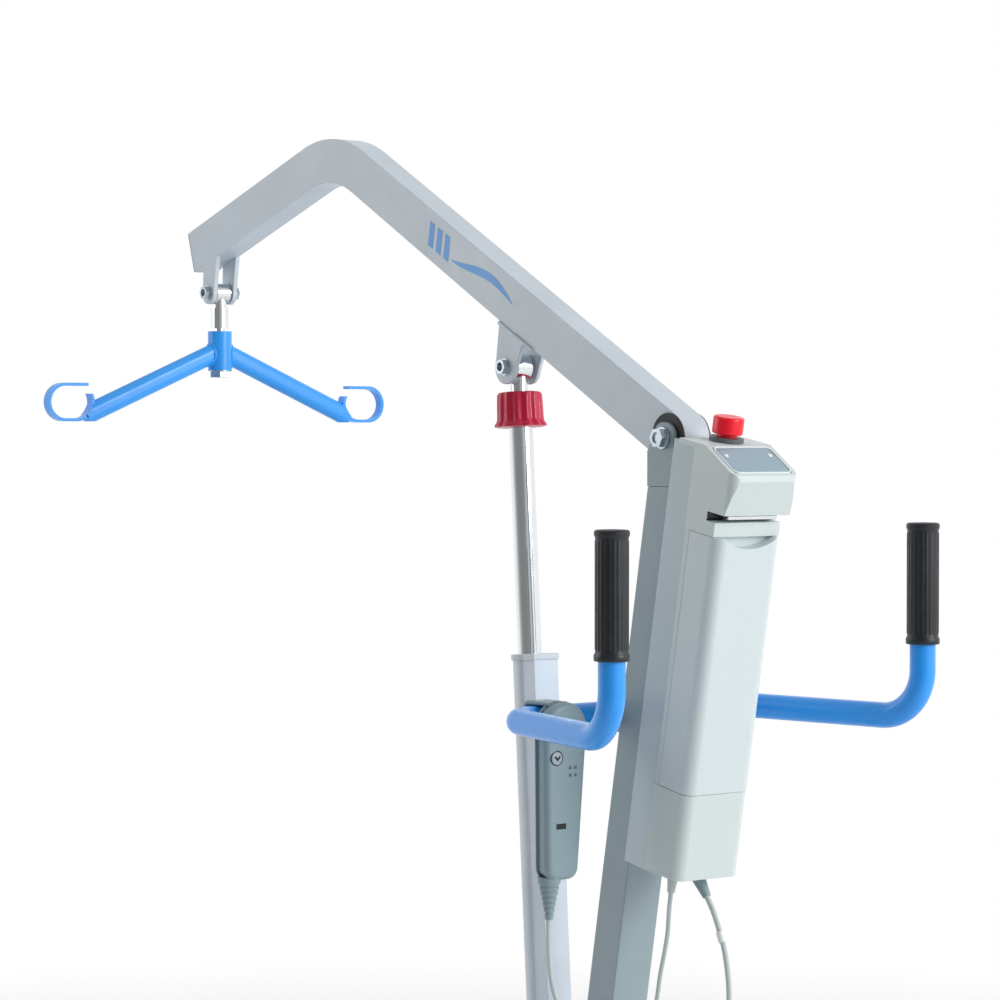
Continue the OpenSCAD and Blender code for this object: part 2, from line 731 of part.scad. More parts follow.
module leg() translate([leg_x, 0, leg_z]) difference() {
    union() {
        translate([0, foot_y, 0]) cylinder(r = leg_w / 2, h = leg_h);
        translate([-leg_w / 2, leg_front + 4, 0]) cube([leg_w, foot_y - leg_front - 4, leg_h]);
        translate([-leg_w / 2 - 1, leg_front, -1]) cube([leg_w + 2, 10, leg_h + 2]);
        translate([-leg_w / 2, foot_y - 20, leg_h]) cube([leg_w, 40, 1]);
    }
    translate([3 - leg_w / 2, leg_front + 75, 3])
        cube([leg_w - 6, foot_y - leg_front - 140, leg_h - 6]);
    translate([0, foot_y, -5]) cylinder(r = 8 + fit, h = 60);
    translate([0, front_castor_y, -5]) cylinder(r = 5 + fit, h = leg_h - 2);
}

module leg_left() color([0.62, 0.66, 0.70]) leg();

module leg_right() color([0.62, 0.66, 0.70]) mirror([1, 0, 0]) leg();

// Rocking pedal behind the beam that spreads the legs
module spread_pedal() color([0.16, 0.17, 0.18]) translate([0, foot_y, foot_z - 20]) {
    rotate([-90, 0, 0]) translate([0, 0, 22]) cylinder(r = 10, h = 52);
    translate([-75, 60, -5]) cube([150, 10, 10]);
    both_sides() translate([50, 55, 5]) cube([45, 60, 6]);
}

// Swivel fork of a twin castor: stem, dome and axle; the wheels are of diameter d
module twin_fork(d, top, stem_r, stem_h) {
    translate([0, 0, top - 6]) cylinder(r = 16, h = 5.4);
    translate([0, 0, top - 1]) cylinder(r = stem_r, h = stem_h + 1);
    translate([-5, -14, d / 2 - 14]) cube([10, 44, top - d / 2 + 10]);
    translate([0, d * 0.28, d / 2]) bar_x(4.5, 40);
}

module front_fork() { twin_fork(front_wheel_d, leg_z - 0.4, 5, 22); }

// Rear fork with the lugs and pin that carry the brake lever
module rear_fork() {
    twin_fork(rear_wheel_d, foot_z - 35.4, 6, 22);
    translate([-16, 0, rear_wheel_d + 4]) cube([32, 28, 20]);
    translate([0, 36, rear_wheel_d + 12]) bar_x(3, 32);
    both_sides() translate([12.5, 20, rear_wheel_d + 6]) cube([3.5, 22, 12]);
}

// Twin wheels on one hub
module twin_wheels(d) translate([0, d * 0.28, d / 2]) both_sides() difference() {
    union() {
        bar_x(d / 2, 12, wheel_pair + 4);
        bar_x(d / 5, 15, wheel_pair + 4.5);
    }
    bar_x(4.5 + fit, 80);
}

module at_front(sx) { translate([sx * leg_x, front_castor_y, 0]) children(); }

module at_rear(sx) { translate([sx * rear_castor_x, rear_castor_y, 0]) children(); }

module front_fork_left() color([0.20, 0.21, 0.22]) at_front(1) front_fork();

module front_fork_right() color([0.20, 0.21, 0.22]) at_front(-1) front_fork();

module front_wheel_left() color([0.35, 0.36, 0.38]) at_front(1) twin_wheels(front_wheel_d);

module front_wheel_right() color([0.35, 0.36, 0.38]) at_front(-1) twin_wheels(front_wheel_d);

module rear_fork_left() color([0.20, 0.21, 0.22]) at_rear(1) rear_fork();

module rear_fork_right() color([0.20, 0.21, 0.22]) at_rear(-1) rear_fork();

module rear_wheel_left() color([0.35, 0.36, 0.38]) at_rear(1) twin_wheels(rear_wheel_d);

module rear_wheel_right() color([0.35, 0.36, 0.38]) at_rear(-1) twin_wheels(rear_wheel_d);

// Foot lever of a rear castor's brake, hinged on the fork behind the swivel
module brake_lever() translate([0, 36, rear_wheel_d + 12]) difference() {
    union() {
        bar_x(6, 24);
        translate([-12, 0, -3]) cube([24, 38, 6]);
    }
    bar_x(3 + fit, 60);
}

module brake_left() color([0.75, 0.10, 0.12]) at_rear(1) brake_lever();

module brake_right() color([0.75, 0.10, 0.12]) at_rear(-1) brake_lever();

mast();
mast_fork();
pivot_bolt();
pivot_washers();
boom();
boom_nose_cap();
boom_bush();
actuator_bracket();
actuator_bolt();
hanger_ears();
hanger_bolt();
hanger_stem();
spreader_bar();
stem_nut();
ram_rod();
ram_eye();
release_collar();
actuator_tube();
actuator_mouth();
motor_case();
drive_screw();
motor();
actuator_foot();
carrier();
control_head();
label_panel();
slot_bar();
control_box();
control_board();
battery();
battery_cells();
stop_ring();
stop_button();
handle_bar();
handle_saddle();
grips();
handset();
button_up();
button_down();
handset_plug();
motor_plug();
motor_cable();
cable_grommet();
handset_cord();
handset_curl();
base_beam();
leg_bolts();
leg_left();
leg_right();
spread_pedal();
front_fork_left();
front_fork_right();
front_wheel_left();
front_wheel_right();
rear_fork_left();
rear_fork_right();
rear_wheel_left();
rear_wheel_right();
brake_left();
brake_right();
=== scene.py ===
import json
import math

import bmesh
import bpy
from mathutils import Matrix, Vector


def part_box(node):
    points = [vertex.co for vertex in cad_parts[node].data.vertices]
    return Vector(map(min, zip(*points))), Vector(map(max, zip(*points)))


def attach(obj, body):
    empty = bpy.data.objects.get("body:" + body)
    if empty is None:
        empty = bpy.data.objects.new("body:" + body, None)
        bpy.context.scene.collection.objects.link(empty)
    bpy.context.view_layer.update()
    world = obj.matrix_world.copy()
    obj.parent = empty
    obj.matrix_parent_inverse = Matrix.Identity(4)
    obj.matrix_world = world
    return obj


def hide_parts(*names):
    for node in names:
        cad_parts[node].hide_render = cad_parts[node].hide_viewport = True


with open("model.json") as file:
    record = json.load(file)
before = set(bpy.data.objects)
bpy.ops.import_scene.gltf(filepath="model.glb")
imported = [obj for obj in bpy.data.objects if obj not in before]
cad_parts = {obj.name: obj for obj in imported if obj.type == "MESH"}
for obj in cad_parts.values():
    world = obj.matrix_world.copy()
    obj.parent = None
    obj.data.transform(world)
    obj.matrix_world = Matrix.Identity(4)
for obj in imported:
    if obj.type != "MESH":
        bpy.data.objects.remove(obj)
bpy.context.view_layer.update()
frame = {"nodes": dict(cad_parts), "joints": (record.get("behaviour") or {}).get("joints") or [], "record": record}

MM = 0.001
NODES = frame["nodes"]
BODY_OF = {n: b for b, ns in frame["record"]["behaviour"]["bodies"].items() for n in ns}
SLOT_OF = {s["node"]: s["material_slot"] for s in frame["record"]["subparts"]}
JOINTS = {j["name"]: j for j in frame["joints"]}
PIVOT = Vector(JOINTS["boom_tilt"]["pos_m"])
HANGER = Vector(JOINTS["hanger_swing"]["pos_m"])
RAM = Vector(JOINTS["ram_turn"]["pos_m"])
RAM_DOWN = Vector(JOINTS["ram_slide"]["axis"]).normalized()
MAST_UP = -Vector(JOINTS["stop_press"]["axis"]).normalized()
MAST_BACK = Vector(JOINTS["battery_slide"]["axis"]).normalized()
MAST_ORIGIN = PIVOT + Vector((0, 5.5 * MM, 0))
X, Y, Z = Vector((1, 0, 0)), Vector((0, 1, 0)), Vector((0, 0, 1))
SIDES = (("left", 1), ("right", -1))


# ---- Camera ----

def link(name, data):
    """A new object in the scene that holds the data."""
    obj = bpy.data.objects.new(name, data)
    bpy.context.scene.collection.objects.link(obj)
    return obj


CAMERA_FROM_PIVOT = Vector((2.0388, 2.475, -0.0022))
CAMERA_AZIMUTH = math.radians(144.0)
CAMERA_RISE = math.radians(1.155)
LENS_MM, SENSOR_MM = 107.1, 36


def make_camera():
    data = bpy.data.cameras.new("camera")
    data.lens = LENS_MM
    data.sensor_width = SENSOR_MM
    cam = link("camera", data)
    back = Vector((math.sin(CAMERA_AZIMUTH) * math.cos(CAMERA_RISE),
                   -math.cos(CAMERA_AZIMUTH) * math.cos(CAMERA_RISE), math.sin(CAMERA_RISE)))
    cam.location = PIVOT + CAMERA_FROM_PIVOT
    cam.rotation_euler = back.to_track_quat("Z", "Y").to_euler()
    bpy.context.scene.camera = cam


make_camera()


# ---- Mesh helpers ----

# Degrees between faces from which an edge gets a bevel, or is shaded sharp
BEVEL_FROM = 32
SHARP_FROM = 38


def mm(pairs):
    """Pairs of millimetres as pairs of metres."""
    return [(a * MM, b * MM) for a, b in pairs]


def from_bmesh(name, bm, sharp=SHARP_FROM):
    bmesh.ops.recalc_face_normals(bm, faces=bm.faces)
    mesh = bpy.data.meshes.new(name)
    bm.to_mesh(mesh)
    bm.free()
    mesh.shade_smooth()
    mesh.set_sharp_from_angle(angle=math.radians(sharp))
    return link(name, mesh)


def even_normals(mesh, sharp):
    """Corner normals weighted by face area, so that wide flat faces shade flat."""
    limit = math.cos(math.radians(sharp))
    around = [[] for _ in mesh.vertices]
    for face in mesh.polygons:
        for v in face.vertices:
            around[v].append((face.normal.copy(), face.area))
    normals = []
    for face in mesh.polygons:
        for v in face.vertices:
            near = [n * area for n, area in around[v] if n.dot(face.normal) > limit]
            total = sum(near, Vector())
            normals.append(total.normalized() if total.length > 0 else face.normal)
    mesh.normals_split_custom_set(normals)


def bevel(obj, width):
    """Rounds the object's sharper edges, and applies that to its mesh."""
    mod = obj.modifiers.new("bevel", "BEVEL")
    mod.width = width
    mod.segments = 3
    mod.limit_method = "ANGLE"
    mod.angle_limit = math.radians(BEVEL_FROM)
    mod.use_clamp_overlap = True
    graph = bpy.context.evaluated_depsgraph_get()
    mesh = bpy.data.meshes.new_from_object(obj.evaluated_get(graph))
    obj.modifiers.clear()
    obj.data = mesh
    mesh.shade_smooth()
    mesh.set_sharp_from_angle(angle=math.radians(SHARP_FROM))
    even_normals(mesh, SHARP_FROM)
    return obj


def cad_copy(node, name):
    """A clean copy of a CAD node's mesh, with its flat faces whole."""
    bm = bmesh.new()
    bm.from_mesh(NODES[node].data)
    bmesh.ops.remove_doubles(bm, verts=bm.verts, dist=2e-6)
    bmesh.ops.dissolve_limit(bm, angle_limit=math.radians(0.6), verts=bm.verts, edges=bm.edges)
    return from_bmesh(name, bm)


def join_rings(bm, one, two):
    """Faces between two closed rings. A ring of one vertex is a tip."""
    for k in range(max(len(one), len(two))):
        n = k + 1
        corners = (one[k % len(one)], one[n % len(one)], two[n % len(two)], two[k % len(two)])
        bm.faces.new(list(dict.fromkeys(corners)))


def sweep(name, points, outline, side=None, closed=False):
    """A mesh of the closed outline, (across, up) pairs, carried along the points."""
    pts = [Vector(p) for p in points]
    count = len(pts)
    bm = bmesh.new()
    normal = None
    rings = []
    for i, p in enumerate(pts):
        ahead = pts[(i + 1) % count] if closed else pts[min(i + 1, count - 1)]
        behind = pts[i - 1] if closed else pts[max(i - 1, 0)]
        t = (ahead - behind).normalized()
        if side is not None:
            normal = Vector(side)
        elif normal is None:
            normal = Vector((1, 0.2, 0.1))
        normal = (normal - t * normal.dot(t)).normalized()
        other = t.cross(normal)
        rings.append([bm.verts.new(p + normal * a + other * b) for a, b in outline])
    for i in range(count if closed else count - 1):
        join_rings(bm, rings[i], rings[(i + 1) % count])
    if not closed:
        bm.faces.new(rings[0])
        bm.faces.new(rings[-1])
    return from_bmesh(name, bm)


def circle(radius, sides):
    return [(radius * math.cos(2 * math.pi * k / sides), radius * math.sin(2 * math.pi * k / sides))
            for k in range(sides)]


def rounded(width, height, radius, steps=5):
    """Outline of a rectangle with round corners."""
    out = []
    for cx, cy, a0 in ((1, 1, 0), (-1, 1, 90), (-1, -1, 180), (1, -1, 270)):
        for i in range(steps + 1):
            a = math.radians(a0 + 90 * i / steps)
            out.append((cx * (width / 2 - radius) + radius * math.cos(a),
                        cy * (height / 2 - radius) + radius * math.sin(a)))
    return out


def lathe(name, profile, origin, axis, sides=64, ripple=None):
    """Turns (radius, height) pairs about an axis. ripple(angle, height) scales the radius."""
    axis = Vector(axis).normalized()
    u = axis.orthogonal().normalized()
    v = axis.cross(u)
    bm = bmesh.new()
    rings = []
    for r, h in profile:
        if r < 1e-6:
            rings.append([bm.verts.new(Vector(origin) + axis * h)])
            continue
        ring = []
        for k in range(sides):
            a = 2 * math.pi * k / sides
            q = r * (ripple(a, h) if ripple else 1)
            ring.append(bm.verts.new(Vector(origin) + axis * h
                                     + (u * math.cos(a) + v * math.sin(a)) * q))
        rings.append(ring)
    for one, two in zip(rings, rings[1:]):
        join_rings(bm, one, two)
    return from_bmesh(name, bm)


def arc_points(a, b, c, radius, steps):
    """Points that round the corner b between a and c."""
    a, b, c = Vector(a), Vector(b), Vector(c)
    u, v = (a - b).normalized(), (c - b).normalized()
    half = math.acos(u.dot(v)) / 2
    whole = math.pi - 2 * half
    centre = b + (u + v).normalized() * radius / math.sin(half)
    s = b + u * radius / math.tan(half) - centre
    e = b + v * radius / math.tan(half) - centre
    return [centre + (s * math.sin((1 - i / steps) * whole) + e * math.sin(i / steps * whole))
            / math.sin(whole) for i in range(steps + 1)]


def smooth_line(points, per_span):
    """A Catmull-Rom curve through the points."""
    p = [Vector(q) for q in points]
    p = [2 * p[0] - p[1]] + p + [2 * p[-1] - p[-2]]
    out = []
    for i in range(1, len(p) - 2):
        for k in range(per_span):
            t = k / per_span
            out.append(0.5 * (2 * p[i] + (p[i + 1] - p[i - 1]) * t
                              + (2 * p[i - 1] - 5 * p[i] + 4 * p[i + 1] - p[i + 2]) * t * t
                              + (3 * p[i] - p[i - 1] - 3 * p[i + 1] + p[i + 2]) * t ** 3))
    out.append(p[-2])
    return out


def on_mast(across, back, up):
    """A point given in the mast's leaning frame, in millimetres."""
    return MAST_ORIGIN + (Vector((across, 0, 0)) + MAST_BACK * back + MAST_UP * up) * MM


def length_of(points):
    return sum((b - a).length for a, b in zip(points, points[1:]))


# ---- Materials ----

class Nodes:
    """Short calls that add shader nodes to one material."""

    def __init__(self, name):
        self.mat = bpy.data.materials.new(name)
        self.mat.use_nodes = True
        self.tree = self.mat.node_tree
        self.shader = self.tree.nodes["Principled BSDF"]
        self.place = self.add("ShaderNodeTexCoord").outputs["Object"]

    def add(self, kind, **values):
        node = self.tree.nodes.new(kind)
        for key, value in values.items():
            setattr(node, key, value)
        return node

    def wire(self, source, target):
        self.tree.links.new(source, target)

    def noise(self, scale, detail=4.0, rough=0.55, stretch=None):
        node = self.add("ShaderNodeTexNoise")
        node.inputs["Scale"].default_value = scale
        node.inputs["Detail"].default_value = detail
        node.inputs["Roughness"].default_value = rough
        source = self.place
        if stretch is not None:
            mapping = self.add("ShaderNodeMapping")
            mapping.inputs["Scale"].default_value = stretch
            self.wire(source, mapping.inputs["Vector"])
            source = mapping.outputs["Vector"]
        self.wire(source, node.inputs["Vector"])
        return node.outputs["Fac"]

    def ramp(self, source, stops):
        node = self.add("ShaderNodeValToRGB")
        ramp = node.color_ramp
        while len(ramp.elements) < len(stops):
            ramp.elements.new(0.5)
        for element, (place, colour) in zip(ramp.elements, stops):
            element.position = place
            element.color = (*colour, 1)
        self.wire(source, node.inputs["Fac"])
        return node.outputs["Color"]

    def span(self, source, low, high, start=0.3, end=0.7):
        node = self.add("ShaderNodeMapRange")
        for key, value in (("From Min", start), ("From Max", end), ("To Min", low), ("To Max", high)):
            node.inputs[key].default_value = value
        self.wire(source, node.inputs["Value"])
        return node.outputs["Result"]

    def bump(self, source, distance, strength=1.0):
        node = self.add("ShaderNodeBump")
        node.inputs["Strength"].default_value = strength
        node.inputs["Distance"].default_value = distance
        self.wire(source, node.inputs["Height"])
        self.wire(node.outputs["Normal"], self.shader.inputs["Normal"])


def shade(colour, k):
    return tuple(max(0.0, min(1.0, c * k)) for c in colour)


def linear(rgb):
    """Linear colour of an 8-bit screen colour."""
    return tuple((c / 255 / 12.92) if c <= 10 else ((c / 255 + 0.055) / 1.055) ** 2.4 for c in rgb)


def painted(name, rgb, rough=0.38, peel=0.00004, coat=0.15, vary=0.05):
    """Powder coat: fine orange peel, faint mottling and dust in its roughness."""
    n = Nodes(name)
    base = linear(rgb)
    tone = n.noise(9, 5)
    n.wire(n.ramp(tone, [(0.3, shade(base, 1 - vary)), (0.7, shade(base, 1 + vary))]),
           n.shader.inputs["Base Color"])
    n.wire(n.span(n.noise(38, 6, 0.65), rough - 0.06, rough + 0.09), n.shader.inputs["Roughness"])
    n.shader.inputs["Coat Weight"].default_value = coat
    n.shader.inputs["Coat Roughness"].default_value = 0.22
    n.bump(n.noise(950, 2, 0.5), peel)
    return n.mat


def moulded(name, rgb, rough=0.42, grain=0.00003, scale=1600, vary=0.03, coat=0.0):
    """Moulded plastic: fine spark texture, slight flow marks."""
    n = Nodes(name)
    base = linear(rgb)
    n.wire(n.ramp(n.noise(6, 3, stretch=(1, 1, 0.3)), [(0.3, shade(base, 1 - vary)),
                                                      (0.7, shade(base, 1 + vary))]),
           n.shader.inputs["Base Color"])
    n.wire(n.span(n.noise(55, 5, 0.6), rough - 0.05, rough + 0.08), n.shader.inputs["Roughness"])
    n.shader.inputs["Coat Weight"].default_value = coat
    n.shader.inputs["Coat Roughness"].default_value = 0.15
    n.shader.inputs["Specular IOR Level"].default_value = 0.45
    n.bump(n.noise(scale, 2, 0.5), grain)
    return n.mat


def metal(name, rgb, rough=0.12, brush=None, depth=0.00001, metallic=1.0):
    """Bare or plated metal; brush gives the stretch of its drawn or turned lines."""
    n = Nodes(name)
    base = linear(rgb)
    n.wire(n.ramp(n.noise(14, 4), [(0.3, shade(base, 0.94)), (0.7, shade(base, 1.04))]),
           n.shader.inputs["Base Color"])
    n.shader.inputs["Metallic"].default_value = metallic
    lines = n.noise(500, 3, 0.6, stretch=brush or (1, 1, 1))
    n.wire(n.span(lines, max(0.02, rough - 0.05), rough + 0.07), n.shader.inputs["Roughness"])
    n.bump(lines, depth, 0.6)
    return n.mat


def rubber(name, rgb, rough=0.62):
    n = Nodes(name)
    base = linear(rgb)
    n.wire(n.ramp(n.noise(25, 5), [(0.35, shade(base, 0.8)), (0.7, shade(base, 1.35))]),
           n.shader.inputs["Base Color"])
    n.wire(n.span(n.noise(90, 5), rough - 0.12, rough + 0.1), n.shader.inputs["Roughness"])
    n.bump(n.noise(700, 3), 0.00008)
    return n.mat


RECIPES = {
    "mast_paint": (painted, (147, 165, 172), {}),
    "boom_paint": (painted, (198, 209, 218), {}),
    "cap_plastic": (moulded, (176, 190, 198), {}),
    "steel": (metal, (186, 197, 205), dict(rough=0.3, brush=(0.1, 0.1, 0.1), depth=0.000002)),
    "chrome": (metal, (232, 236, 238), dict(rough=0.07, brush=(1, 1, 0.05))),
    "bronze": (metal, (196, 160, 104), dict(rough=0.3)),
    "black_nylon": (moulded, (28, 29, 31), dict(rough=0.5)),
    "blue_light": (painted, (40, 160, 255), dict(rough=0.3, peel=0.00002, coat=0.3)),
    "blue_handle": (painted, (30, 157, 255), dict(rough=0.28, peel=0.000012, coat=0.35)),
    "red_collar": (moulded, (196, 8, 62), dict(rough=0.3, coat=0.15)),
    "red_button": (moulded, (255, 3, 40), dict(rough=0.3, coat=0.1, grain=0.000008)),
    "aluminium": (metal, (202, 212, 222), dict(rough=0.4, brush=(8, 8, 0.04), metallic=0.35)),
    "mouth_plastic": (moulded, (214, 222, 228), dict(rough=0.4)),
    "motor_plastic": (moulded, (74, 78, 82), dict(rough=0.45)),
    "carrier_paint": (painted, (188, 203, 209), dict(rough=0.36)),
    "unit_plastic": (moulded, (206, 217, 217), dict(rough=0.42)),
    "battery_plastic": (moulded, (208, 219, 221), dict(rough=0.42)),
    "label_film": (moulded, (148, 172, 186), dict(rough=0.3, coat=0.2, grain=0.000005)),
    "board": (moulded, (30, 92, 52), dict(rough=0.5)),
    "cells": (moulded, (48, 50, 52), dict(rough=0.5)),
    "grip_rubber": (rubber, (26, 30, 36), dict(rough=0.4)),
    "handset_plastic": (moulded, (136, 158, 165), dict(rough=0.42)),
    "button_plastic": (moulded, (166, 178, 184), dict(rough=0.4)),
    "cable_sheath": (moulded, (192, 202, 203), dict(rough=0.45, scale=900)),
    "castor_plastic": (moulded, (44, 46, 49), dict(rough=0.45)),
    "wheel_rubber": (rubber, (98, 101, 105), {}),
    "brake_red": (moulded, (182, 40, 44), dict(rough=0.4)),
    "mark_blue": (painted, (58, 148, 222), dict(rough=0.35, coat=0.3)),
    # Dark plastic of the handset's window, surrounds and arrows; also the painted shade at the back of the head's
    # slot
    "dark_window": (moulded, (26, 30, 34), dict(rough=0.18, grain=0.000004)),
    "lamp_clear": (moulded, (236, 242, 246), dict(rough=0.15, grain=0.000004)),
    "tag_white": (moulded, (240, 243, 244), dict(rough=0.5)),
    "rim_white": (moulded, (226, 232, 234), dict(rough=0.3)),
    "stop_grey": (moulded, (92, 98, 102), dict(rough=0.4)),
    "print_grey": (moulded, (86, 96, 102), dict(rough=0.5)),
}
MATERIALS = {name: make(name, rgb, **more) for name, (make, rgb, more) in RECIPES.items()}


def dress(obj, body, slot_name, material=None, replaces=()):
    """Gives a piece its body and a material, by default the one named after its slot, and hides the CAD nodes that
    it stands for.
    """
    obj.data.materials.clear()
    obj.data.materials.append(MATERIALS[material or slot_name])
    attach(obj, body)
    if replaces:
        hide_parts(*replaces)
    return obj


# ---- Cords ----

# Diameters of the hand control's cord and the actuator's lead
CORD, LEAD = 6 * MM, 5 * MM
CURL_RADIUS = 12 * MM
CURL_PITCH = 11 * MM
# How much of the hanging line the curls take to open fully, at either end
CURL_START = 48 * MM
# Where a curl starts it turns this share as fast, so that it bends no tighter than the rest
CURL_START_SPEED = 0.25

# The lines they hang along, in millimetres. The curled part hangs in one loop between two
# straight ones, and the actuator's lead goes into a grommet in the mast.
CORD_DOWN = [(-12, 476, 838), (-12, 485, 826), (-12, 493, 812), (-12, 504, 788),
             (-12, 510, 765), (-12, 513, 740), (-12, 512, 715), (-14, 508, 690)]
CURL_LINE = [(-14, 508, 690), (-15, 505, 650), (-11, 499, 605), (-2, 490, 560), (13, 478, 522),
             (34, 463, 502), (56, 447, 505), (74, 432, 532), (84, 420, 575), (89, 413, 615),
             (90, 410, 652)]
CORD_UP = [(90, 410, 652), (93, 409, 664), (100, 405, 678), (112, 398, 698), (123, 391, 722),
           (129, 386, 750), (131.5, 385, 778), (132, 385, 800), (132, 385.2, 815)]
MOTOR_LINE = [(10, 442, 840), (10, 439, 820), (10, 437, 798), (10, 432, 776), (10, 424, 748),
              (10, 419, 724), (9, 409, 695), (8, 399, 668), (6, 388, 645), (4, 377, 627),
              (1, 365, 617.5), (0, 354, 616), (0, 343, 618)]


def in_metres(points):
    return [Vector(p) * MM for p in points]


def curve(name, points, diameter, sides=3):
    data = bpy.data.curves.new(name, "CURVE")
    data.dimensions = "3D"
    data.bevel_depth = diameter / 2
    data.bevel_resolution = sides
    data.use_fill_caps = True
    spline = data.splines.new("POLY")
    spline.points.add(len(points) - 1)
    for point, p in zip(spline.points, points):
        point.co = (*p, 1)
    spline.use_smooth = True
    return link(name, data)


def smooth_step(s):
    """0 to 1 with no corner at either end."""
    s = min(1.0, max(0.0, s))
    return s * s * (3 - 2 * s)


def coil(line, radius, pitch, start, steps=14):
    """Points of a helix about the line, steps to a turn, that opens over the start length."""
    total = length_of(line)
    count = round(total / pitch) * steps
    marks = [0.0]
    for a, b in zip(line, line[1:]):
        marks.append(marks[-1] + (b - a).length)
    normal = Vector((1, 0, 0))
    out = []
    seg = 0
    angle = 0
    for i in range(count + 1):
        d = total * i / count
        while seg < len(line) - 2 and marks[seg + 1] < d:
            seg += 1
        t = (line[seg + 1] - line[seg]).normalized()
        p = line[seg] + t * (d - marks[seg])
        normal = (normal - t * normal.dot(t)).normalized()
        end = min(d, total - d) / start
        out.append(p + (normal * math.cos(angle) + t.cross(normal) * math.sin(angle))
                   * radius * smooth_step(end))
        speed = CURL_START_SPEED + (1 - CURL_START_SPEED) * smooth_step((end - 0.9) / 0.6)
        angle += 2 * math.pi / steps * speed
    return out


down = smooth_line(in_metres(CORD_DOWN), 5)
curl = coil(smooth_line(in_metres(CURL_LINE), 14), CURL_RADIUS, CURL_PITCH, CURL_START)
up = smooth_line(in_metres(CORD_UP), 5)
cord_points = down[:-1] + curl + up[1:]
handset_cord = dress(curve("handset_cord_coiled", cord_points, CORD), "frame", "cable_sheath",
                     replaces=("handset_cord", "handset_curl"))
motor_points = smooth_line(in_metres(MOTOR_LINE), 6)
motor_cord = dress(curve("motor_lead", motor_points, LEAD), "frame", "cable_sheath",
                   replaces=("motor_cable",))

# A small white marker sleeve on the hand control's cord
third = len(down) // 3
sleeve = lathe("cord_marker", mm([(3.05, 0), (4.2, 0.2), (4.4, 1.2), (4.4, 10.8), (4.2, 11.8),
                                  (3.05, 12), (3.05, 0)]),
               down[third], down[third + 2] - down[third], sides=32)
dress(sleeve, "frame", "cable_sheath", "tag_white")


# ---- Refined CAD parts ----

def refine(node, width, material=None):
    """The CAD part's own shape with real edge radii, shown instead of it."""
    obj = bevel(cad_copy(node, node + "_fine"), width)
    return dress(obj, BODY_OF[node], SLOT_OF[node], material, replaces=(node,))


# Edge radii in millimetres
REFINED = {
    "mast": 4.0, "mast_fork": 1.0, "pivot_bolt": 0.7, "pivot_washers": 0.5, "boom": 4.5,
    "boom_nose_cap": 1.6, "boom_bush": 0.4, "actuator_bracket": 1.0, "actuator_bolt": 0.7,
    "hanger_ears": 1.0, "hanger_bolt": 0.7, "hanger_stem": 0.8, "spreader_bar": 1.5,
    "stem_nut": 0.7, "ram_eye": 1.0, "actuator_tube": 0.6, "actuator_mouth": 1.0,
    "motor_case": 2.5, "drive_screw": 0.3, "motor": 0.6, "actuator_foot": 1.2, "carrier": 1.0,
    "control_head": 4.5, "slot_bar": 1.5, "control_box": 2.6, "control_board": 0.2,
    "battery": 3.0, "battery_cells": 1.0, "stop_ring": 0.8, "handle_saddle": 1.0,
    "handset_plug": 0.8, "motor_plug": 0.8, "cable_grommet": 0.8, "base_beam": 2.0,
    "leg_bolts": 0.8, "leg_left": 3.0, "leg_right": 3.0, "spread_pedal": 1.5,
    "front_fork_left": 1.2, "front_fork_right": 1.2, "rear_fork_left": 1.2,
    "rear_fork_right": 1.2, "brake_left": 1.0, "brake_right": 1.0,
}
REFINISHED = {"slot_bar": "chrome", "stop_ring": "stop_grey"}
for node, width in REFINED.items():
    refine(node, width * MM, REFINISHED.get(node))


# ---- Boom mark ----

def flat_mark(name, outlines, place, across, along, lift=0.15 * MM, thick=0.25 * MM):
    """Thin raised shapes on a flat face, from outlines in metres along two directions."""
    bm = bmesh.new()
    out = across.cross(along).normalized()
    for outline in outlines:
        low = [bm.verts.new(place + across * a + along * b - out * thick) for a, b in outline]
        top = [bm.verts.new(place + across * a + along * b + out * lift) for a, b in outline]
        bm.faces.new(top)
        bm.faces.new(low[::-1])
        for k in range(len(outline)):
            n = (k + 1) % len(outline)
            bm.faces.new((low[k], low[n], top[n], top[k]))
    return from_bmesh(name, bm)


def wave(length, height, steps=24):
    """Outline of a long curved stroke, thick in the middle and thin at both ends."""
    top, low = [], []
    for i in range(steps + 1):
        s = i / steps
        mid = height * math.sin(math.pi * 1.4 * s) * 0.5
        half = height * 0.3 * math.sin(math.pi * s) ** 0.8 + 0.2 * MM
        top.append((length * s, mid + half))
        low.append((length * s, mid - half))
    return low + top[::-1]


# The boom's rear part rises forward from the pivot at this angle
REAR_RISE = math.radians(28.4)
FORWARD = Vector((0, -math.cos(REAR_RISE), math.sin(REAR_RISE)))
ABOVE = Vector((0, math.sin(REAR_RISE), math.cos(REAR_RISE)))
BOOM_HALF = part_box("boom")[1].x
MARK_AT = 322 * MM
BAR = ((140, -13), (151, -13), (160, 14.5), (149, 14.5))
BAR_PITCH = 18
for side_name, sign in SIDES:
    start = PIVOT + X * sign * BOOM_HALF + FORWARD * MARK_AT
    shapes = [wave(135 * MM, 16 * MM)]
    shapes += [mm([(a + k * BAR_PITCH, b) for a, b in BAR]) for k in range(3)]
    if sign < 0:
        shapes = [[(-a, b) for a, b in s][::-1] for s in shapes]
    mark = flat_mark("boom_mark_" + side_name, shapes, start, FORWARD * sign, ABOVE)
    dress(mark, "boom", "boom_paint", "mark_blue")


# ---- Welds ----

BEAD_SIDES = 10
BEAD_STEP = 2 * MM
BEAD_RIPPLE = 0.14


def bead(name, points, radius):
    """A fillet of weld along the points, with the ripple of its runs."""
    line = smooth_line(points, max(2, int(length_of(points) / BEAD_STEP)))
    obj = sweep(name, line, circle(radius, BEAD_SIDES))
    for k, vert in enumerate(obj.data.vertices):
        ring = k // BEAD_SIDES
        vert.co += (vert.co - line[ring]) * BEAD_RIPPLE * math.sin(ring * 1.9)
    return obj


